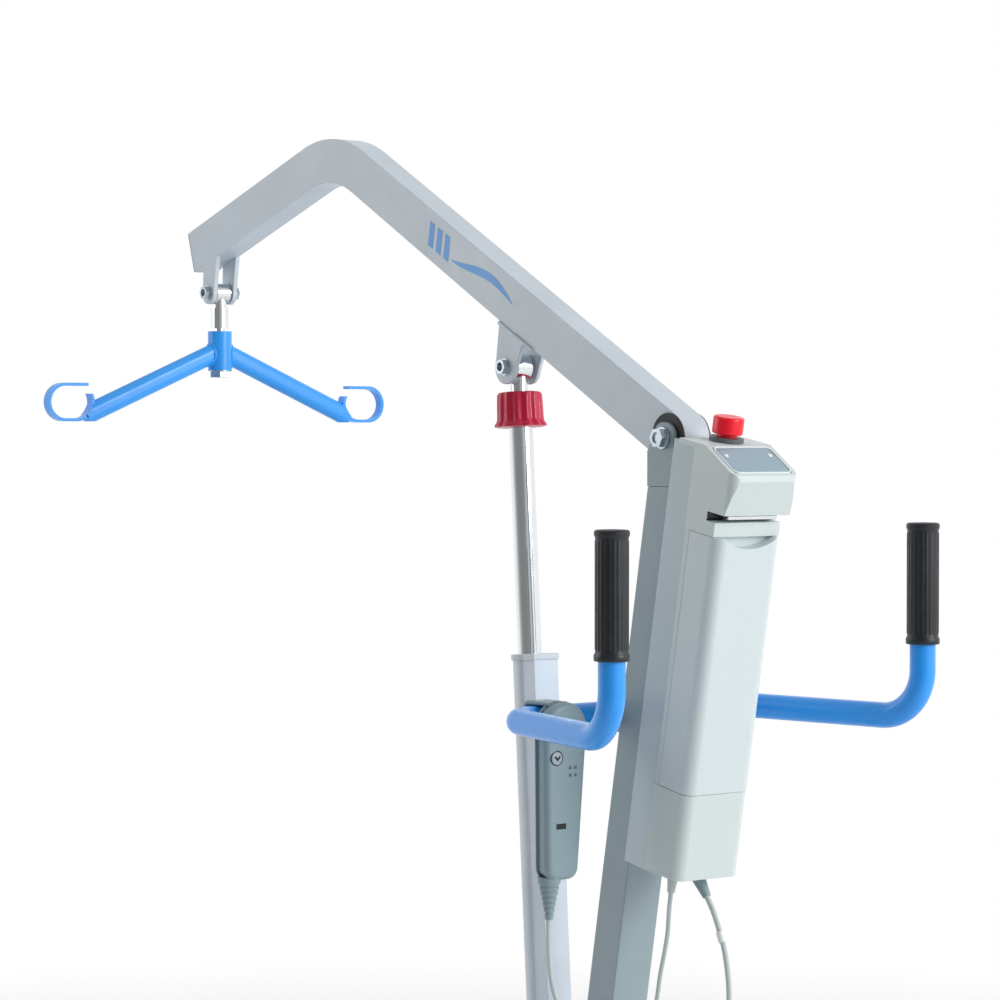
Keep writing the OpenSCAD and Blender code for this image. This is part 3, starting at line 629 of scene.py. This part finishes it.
# The actuator bracket's ears are welded along the boom's lower edges
for side_name, sign in SIDES:
    edge = PIVOT + X * sign * (BOOM_HALF + 1.2 * MM) - ABOVE * 27.9 * MM
    seam = bead("bracket_weld_" + side_name,
                [edge + FORWARD * s * MM for s in (262, 275, 288, 300)], 1.6 * MM)
    dress(seam, "boom", "boom_paint")

# The spreader's arms are welded round the hub, where their flattened tube meets it
ARMS_AT = HANGER + Vector((0, 0, -76 * MM))
DROOP = math.radians(23.5)
HUB_R = 16.3 * MM
ARM_HALF_WIDE, ARM_HALF_HIGH = 10.4 * MM, 13.2 * MM
for side_name, sign in SIDES:
    way = Vector((sign * math.cos(DROOP), 0, -math.sin(DROOP)))
    up_way = Vector((sign * math.sin(DROOP), 0, math.cos(DROOP)))
    ring = []
    for k in range(24):
        a = 2 * math.pi * k / 24
        y, h = ARM_HALF_WIDE * math.cos(a), ARM_HALF_HIGH * math.sin(a)
        reach = math.sqrt(max(0, HUB_R ** 2 - y * y))
        along = (reach - h * math.sin(DROOP)) / math.cos(DROOP)
        ring.append(ARMS_AT + way * along + up_way * h + Vector((0, y, 0)))
    seam = sweep("hub_weld_" + side_name, ring, circle(1.9 * MM, BEAD_SIDES), closed=True)
    dress(seam, "spreader", "blue_light")


# ---- Release collar and ram ----

FLUTES = 14


def collar_flutes(a, h):
    deep = 0.038 if 31 * MM < h < 68 * MM else 0.006
    return 1 + deep * math.cos(FLUTES * a)


collar = lathe("release_collar_fluted", mm([
    (14.4, 29.5), (23, 29.2), (24.6, 30), (25.2, 32.5), (25.6, 42), (25.9, 52), (26.2, 60),
    (27, 63.5), (28.8, 65.8), (29.6, 67.5), (29.4, 69), (27, 69.6), (14.4, 69.6), (14.4, 29.5)]),
    RAM, RAM_DOWN, sides=12 * FLUTES, ripple=collar_flutes)
dress(collar, "collar", "red_collar", replaces=("release_collar",))

ROD_R = 14 * MM
ROD_CHAMFER = 1.4 * MM
along_rod = [v.co.dot(RAM_DOWN) - RAM.dot(RAM_DOWN) for v in NODES["ram_rod"].data.vertices]
rod_top, rod_low = min(along_rod), max(along_rod)
rod = lathe("ram_rod_chromed", [
    (0, rod_top), (ROD_R - ROD_CHAMFER, rod_top), (ROD_R, rod_top + ROD_CHAMFER),
    (ROD_R, rod_low - ROD_CHAMFER), (ROD_R - ROD_CHAMFER, rod_low), (0, rod_low)],
    RAM, RAM_DOWN, sides=96)
dress(rod, "ram", "chrome", replaces=("ram_rod",))


# ---- Handles ----

HANDLE_R = 14 * MM
HANDLE_CORNER = 162 * MM
REAR_BEND_R = 52 * MM
SIDE_BEND_R = 34 * MM
bar_low, bar_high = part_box("handle_bar")
grip_low, grip_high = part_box("grips")
grip_x = bar_high.x - HANDLE_R
grip_y = bar_high.y - HANDLE_R
bar_y = bar_low.y + HANDLE_R
bar_z = bar_low.z + HANDLE_R
top = (grip_x, grip_y, bar_high.z)
rear = (grip_x, grip_y, bar_z)
front = (HANDLE_CORNER, bar_y, bar_z)
half = [Vector(top), Vector((grip_x, grip_y, bar_high.z - 60 * MM))]
half += arc_points(top, rear, front, REAR_BEND_R, 20)
half += arc_points(rear, front, (0, bar_y, bar_z), SIDE_BEND_R, 18)
tube = half + [Vector((-p.x, p.y, p.z)) for p in reversed(half)]
dress(sweep("handle_tube", tube, circle(HANDLE_R, 40)), "frame", "blue_handle",
      replaces=("handle_bar",))

GRIP_RIBS = 24
GRIP_PLAIN_END = 12 * MM
grip_tall = grip_high.z - grip_low.z


def grip_ribs(a, h):
    inside = GRIP_PLAIN_END < h < grip_tall - GRIP_PLAIN_END
    return 1 + (0.035 * max(0, math.cos(GRIP_RIBS * a)) ** 2 if inside else 0)


# Radii with heights above the grip's lower end, then with depths below its top
GRIP_BOTTOM = [(14.1, 0), (17.6, 0), (18.3, 0.9), (18.3, 5.8), (17.4, 7.4), (16.7, 9), (16.7, 12.5)]
GRIP_TOP = [(16.7, 12.5), (16.7, 9), (17.3, 7), (18, 5.5), (18, 2.2), (16.6, 0.5), (13, 0), (5, 0),
            (4.4, 0.9), (0, 0.9)]
grip_profile = mm(GRIP_BOTTOM) + [(r, grip_tall - depth) for r, depth in mm(GRIP_TOP)]
for side_name, sign in SIDES:
    grip = lathe("grip_" + side_name, grip_profile, (sign * grip_x, grip_y, grip_low.z), Z,
                 sides=8 * GRIP_RIBS, ripple=grip_ribs)
    dress(grip, "frame", "grip_rubber", replaces=("grips",))


# ---- Stop button ----

GROOVES = 9


def finger_grooves(a, h):
    return 1 - (0.02 * max(0, math.cos(GROOVES * a)) ** 3 if 19 * MM < h < 33 * MM else 0)


stop_cap = lathe("stop_button_cap", mm([
    (0, 7.8), (10.3, 7.8), (10.3, 17.6), (15.6, 17.6), (16.5, 18.5), (16.5, 33.2), (16.1, 34.7),
    (15, 35.7), (13.4, 36), (11, 35.7), (0, 35.2)]),
    on_mast(0, 69, 0), MAST_UP, sides=16 * GROOVES, ripple=finger_grooves)
dress(stop_cap, "stop_button", "red_button", replaces=("stop_button",))


# ---- Hand control ----

hand_low, hand_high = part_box("handset")
HAND_X = 118 * MM
HAND_Y = bar_y + HANDLE_R + 2.7 * MM
HAND_TOP = hand_high.z
HAND_LOW = hand_low.z + 43 * MM
HAND_TOP_R = 28 * MM
HAND_CORNER_R = 13 * MM
HAND_FOOT = (-16.5 * MM, 26.5 * MM)
HAND_DEEP = 25 * MM
BACK_EDGE_R = 4 * MM
FACE_EDGE_R = 7 * MM
face_y = HAND_Y + HAND_DEEP


def hand_outline():
    """Points and outward normals of the control's outline, as (x, z, normal x, normal z)."""
    pts = []
    for i in range(33):
        a = math.pi * i / 32
        pts.append((HAND_X + HAND_TOP_R * math.cos(a),
                    HAND_TOP - HAND_TOP_R + HAND_TOP_R * math.sin(a)))
    corner = HAND_CORNER_R
    for cx, start in ((HAND_FOOT[0] + corner, math.pi), (HAND_FOOT[1] - corner, 1.5 * math.pi)):
        for i in range(13):
            a = start + 0.5 * math.pi * i / 12
            pts.append((HAND_X + cx + corner * math.cos(a), HAND_LOW + corner + corner * math.sin(a)))
    out = []
    for i, (x, z) in enumerate(pts):
        (x0, z0), (x1, z1) = pts[i - 1], pts[(i + 1) % len(pts)]
        normal = Vector((z1 - z0, x0 - x1)).normalized()
        out.append((x, z, normal.x, normal.y))
    return out


def hand_shell():
    """The control's body: its outline carried from back to face, with both edges rounded."""
    layers = []
    for i in range(7):
        a = math.pi / 2 * i / 6
        layers.append((BACK_EDGE_R * (1 - math.sin(a)), BACK_EDGE_R * (1 - math.cos(a))))
    for i in range(11):
        a = math.pi / 2 * i / 10
        layers.append((HAND_DEEP - FACE_EDGE_R + FACE_EDGE_R * math.sin(a),
                       FACE_EDGE_R * (1 - math.cos(a))))
    bm = bmesh.new()
    outline = hand_outline()
    rings = [[bm.verts.new((x - nx * inset, HAND_Y + y, z - nz * inset)) for x, z, nx, nz in outline]
             for y, inset in layers]
    for one, two in zip(rings, rings[1:]):
        join_rings(bm, one, two)
    bm.faces.new(rings[0])
    bm.faces.new(rings[-1])
    return from_bmesh("handset_shell", bm, sharp=50)


dress(hand_shell(), "frame", "handset_plastic", replaces=("handset",))

# The ribbed strain relief that the cord comes out of
RELIEF_AT = Vector((HAND_X + 14 * MM, HAND_Y + 10 * MM, hand_low.z))
RELIEF_RIBS = 6
RIB_WIDER, RIB_PITCH = 1.15, 5.8
relief_profile = [(3.2, 0), (4.4, 0.6)]
for k in range(RELIEF_RIBS):
    relief_profile += [(r + k * RIB_WIDER, 3 + up + k * RIB_PITCH)
                       for r, up in ((4.6, 0), (4.9, 3.4), (4.2, 3.7), (4.5, 5.4))]
relief_profile += [(12, 39), (12.4, 41), (12.4, 46), (0, 46)]
relief = lathe("handset_relief", mm(relief_profile), RELIEF_AT, Z, sides=48)
dress(relief, "frame", "handset_plastic")

# The hook over the handle bar, as a bent strip
HOOK_WIDE, HOOK_THICK = 28 * MM, 4 * MM
hook_z = bar_z + HANDLE_R + 3 * MM
hook_front = bar_y - 17.8 * MM
hook_line = [(0, HAND_Y + 6 * MM, hook_z), (0, bar_y - 10 * MM, hook_z)]
hook_line += arc_points((0, bar_y, hook_z), (0, hook_front, hook_z), (0, hook_front, bar_z),
                        5 * MM, 8)
hook_line += [(0, hook_front, bar_z - 1.5 * MM)]
hook = sweep("handset_hook", [Vector((HAND_X, y, z)) for _, y, z in hook_line],
             rounded(HOOK_WIDE, HOOK_THICK, 1.4 * MM), side=X)
dress(hook, "frame", "handset_plastic")

CAP_PROFILE = mm([(0, 0), (6.9, 0), (6.9, 3.6), (6.3, 4.3), (4.5, 4.7), (0, 4.8)])
SURROUND = mm([(7.2, -1), (7.2, 0.2), (7.6, 0.35), (8.3, 0.1), (8.3, -1), (7.2, -1)])
CHEVRON = [(-4.2, -1.4), (-2.6, -3.0), (0, -0.2), (2.6, -3.0), (4.2, -1.4), (0, 3.2)]
for node, turn in (("button_up", 1), ("button_down", -1)):
    low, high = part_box(node)
    centre = (low + high) / 2
    cap = lathe(node + "_cap", CAP_PROFILE, (centre.x, low.y, centre.z), Y, sides=64)
    dress(cap, node, "button_plastic", replaces=(node,))
    arrow = flat_mark(node + "_arrow", [mm([(a, b * turn) for a, b in CHEVRON])],
                      Vector((centre.x, low.y + 4.75 * MM, centre.z)), -X, Z)
    dress(arrow, node, "button_plastic", "dark_window")
    ring = lathe(node + "_surround", SURROUND, (centre.x, face_y, centre.z), Y, sides=64)
    dress(ring, "frame", "handset_plastic", "dark_window")

window = flat_mark("handset_window", [mm([(-6.5, -3), (6.5, -3), (6.5, 3), (-6.5, 3)])],
                   Vector((HAND_X + 9 * MM, face_y, HAND_LOW + 58 * MM)), -X, Z)
dress(window, "frame", "handset_plastic", "dark_window")

# Four small unlettered signs, two by two
SIGN = [(-2.2, -1.54), (2.2, -1.54), (1.32, 1.76), (-1.32, 1.76)]
signs = [mm([(cx + a, cz + b) for a, b in SIGN]) for cz in (0, -8) for cx in (-1, 6)]
dress(flat_mark("handset_icons", signs, Vector((HAND_X - 4 * MM, face_y, HAND_TOP - 70 * MM)),
                -X, Z, lift=0.08 * MM), "frame", "handset_plastic", "print_grey")


# ---- Control unit ----

# The sloping field on the control head
TILT = math.radians(24.3)
LABEL_AT = on_mast(0, 113.5, -2.5)
LABEL_BACK = (MAST_BACK * math.cos(TILT) - MAST_UP * math.sin(TILT)).normalized()
LABEL_OUT = (MAST_UP * math.cos(TILT) + MAST_BACK * math.sin(TILT)).normalized()
label_low, label_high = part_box("label_panel")
LABEL_WIDE = label_high.x - label_low.x - 1.5 * MM
LABEL_DEEP = 44.5 * MM
LABEL_CORNER = 7 * MM
RIM_OUT = 1 * MM


def label_film(low, high):
    """A thin plate with round corners on the sloping field, between two heights over it."""
    bm = bmesh.new()
    edge = min(0.5 * MM, (high - low) / 3)
    rings = []
    for lift, inset in ((low, 0), (high - edge, 0), (high, edge)):
        wide, deep = 1 - 2 * inset / LABEL_WIDE, 1 - 2 * inset / LABEL_DEEP
        rings.append([bm.verts.new(LABEL_AT + X * a * wide + LABEL_BACK * b * deep + LABEL_OUT * lift)
                      for a, b in rounded(LABEL_WIDE, LABEL_DEEP, LABEL_CORNER, 7)])
    for one, two in zip(rings, rings[1:]):
        join_rings(bm, one, two)
    bm.faces.new(rings[0])
    bm.faces.new(rings[-1])
    return from_bmesh("label_film", bm)


dress(label_film(-1.6 * MM, 0.1 * MM), "frame", "label_film", replaces=("label_panel",))
rim_line = [LABEL_AT + X * a + LABEL_BACK * b + LABEL_OUT * 0.1 * MM
            for a, b in rounded(LABEL_WIDE + 2 * RIM_OUT, LABEL_DEEP + 2 * RIM_OUT,
                                LABEL_CORNER + RIM_OUT, 7)]
dress(sweep("label_rim", rim_line, circle(1.1 * MM, 10), closed=True), "frame", "unit_plastic",
      "rim_white")
for k, x in enumerate((-30, 30)):
    lamp = lathe(f"label_lamp_{k + 1}", mm([(2.7, -0.3), (2.7, 0.5), (2.1, 1.0), (0, 1.2)]),
                 LABEL_AT + X * x * MM - LABEL_BACK * 8 * MM, LABEL_OUT, sides=32)
    dress(lamp, "frame", "label_film", "lamp_clear")

# A dark sheet at the back of the slot under the head: painted shade in place of the shadow inside the slot
slot_shade = sweep("slot_painted_shade", [on_mast(-43.4, 104.6, -63), on_mast(43.4, 104.6, -63)],
               rounded(1.2 * MM, 9.6 * MM, 0.3 * MM, 2), side=MAST_BACK)
dress(slot_shade, "frame", "unit_plastic", "dark_window")


# ---- Castors ----

# Twin wheels either side of the axle: radii as shares of the wheel's, places across it in mm
WHEEL_FROM_MIDDLE = 14.2 * MM
TYRE = [(0.74, -6), (0.9, -6.2), (0.97, -5), (1, -2.6), (1, -0.5), (0.985, -0.2), (0.985, 0.2),
        (1, 0.5), (1, 2.6), (0.97, 5), (0.9, 6.2), (0.74, 6), (0.74, -6)]
HUB = [(0, 6.6), (0.15, 6.6), (0.18, 5.9), (0.2, 4.2), (0.55, 3.2), (0.64, 4.4), (0.7, 5.6),
       (0.75, 5.6), (0.75, -5.4), (0, -5.4)]
for node in ("front_wheel_left", "front_wheel_right", "rear_wheel_left", "rear_wheel_right"):
    low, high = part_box(node)
    radius = (high.z - low.z) / 2
    for k, outer in enumerate((1, -1)):
        middle = (low + high) / 2 + X * outer * WHEEL_FROM_MIDDLE
        tyre = lathe(f"{node}_tyre_{k + 1}", [(radius * r, x * MM) for r, x in TYRE], middle, X,
                     sides=72)
        dress(tyre, node, "wheel_rubber", replaces=(node,))
        hub = lathe(f"{node}_hub_{k + 1}", [(radius * r, outer * x * MM) for r, x in HUB], middle, X,
                    sides=48)
        dress(hub, node, "castor_plastic")


# ---- Leg end caps ----

LEG_WIDE, LEG_HIGH = 50 * MM, 30 * MM
for node in ("leg_left", "leg_right"):
    low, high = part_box(node)
    front = Vector(((low.x + high.x) / 2, low.y, (low.z + high.z) / 2))
    cap = sweep(node + "_end_cap", [front - Y * 1.5 * MM, front + Y * 6 * MM],
                rounded(LEG_WIDE, LEG_HIGH, 4 * MM), side=X)
    dress(bevel(cap, 0.8 * MM), BODY_OF[node], SLOT_OF[node], "black_nylon")


# ---- Stage ----

FLOOR_R = 4.2
FLOOR_FADES = (1.3, 4.0)
LAMPS = (("key", (-1.6, 3.8, 2.6), 2.0, 84),
         ("side", (1.7, -1.5, 2.0), 1.2, 8),
         ("top", (0.6, 0.2, 4.0), 2.4, 10))
LAMPS_AIM = Vector((0, 0, 1.1))
DIM_SIDE = Vector((0.9, 0.35, 0.2)).normalized()


def make_floor():
    """A pale round floor that fades out into the background."""
    disc = bmesh.new()
    bmesh.ops.create_circle(disc, cap_ends=True, radius=FLOOR_R, segments=96)
    plane = from_bmesh("studio_floor", disc)
    n = Nodes("studio_floor")
    n.shader.inputs["Base Color"].default_value = (0.93, 0.93, 0.93, 1)
    n.shader.inputs["Roughness"].default_value = 0.8
    away = n.add("ShaderNodeVectorMath", operation="LENGTH")
    n.wire(n.place, away.inputs[0])
    n.wire(n.span(away.outputs["Value"], 1.0, 0.0, *FLOOR_FADES), n.shader.inputs["Alpha"])
    plane.data.materials.append(n.mat)


def fade_down(tree, source, start, end, darkest):
    """A smooth fall from 1 to the darkest value while the source rises from start to end."""
    node = tree.nodes.new("ShaderNodeMapRange")
    node.interpolation_type = "SMOOTHSTEP"
    for key, value in (("From Min", start), ("From Max", end), ("To Min", 1.0), ("To Max", darkest)):
        node.inputs[key].default_value = value
    tree.links.new(source, node.inputs["Value"])
    return node.outputs["Result"]


def make_world():
    """White surroundings, dimmer on one side and overhead, so that edges show."""
    world = bpy.data.worlds.new("studio")
    bpy.context.scene.world = world
    world.use_nodes = True
    tree = world.node_tree
    back = tree.nodes["Background"]
    back.inputs["Color"].default_value = (1, 1, 1, 1)
    coord = tree.nodes.new("ShaderNodeTexCoord")
    dot = tree.nodes.new("ShaderNodeVectorMath")
    dot.operation = "DOT_PRODUCT"
    dot.inputs[1].default_value = DIM_SIDE
    tree.links.new(coord.outputs["Generated"], dot.inputs[0])
    height = tree.nodes.new("ShaderNodeSeparateXYZ")
    tree.links.new(coord.outputs["Generated"], height.inputs["Vector"])
    both = tree.nodes.new("ShaderNodeMath")
    both.operation = "MULTIPLY"
    tree.links.new(fade_down(tree, dot.outputs["Value"], 0.1, 0.95, 0.25), both.inputs[0])
    tree.links.new(fade_down(tree, height.outputs["Z"], 0.35, 0.95, 0.45), both.inputs[1])
    tree.links.new(both.outputs["Value"], back.inputs["Strength"])


def make_lamps():
    for name, place, size, power in LAMPS:
        data = bpy.data.lights.new(name, "AREA")
        data.size = size
        data.energy = power
        lamp = link(name, data)
        lamp.location = place
        lamp.rotation_euler = (Vector(place) - LAMPS_AIM).to_track_quat("Z", "Y").to_euler()


make_floor()
make_world()
make_lamps()
bpy.context.scene.view_settings.view_transform = "Standard"
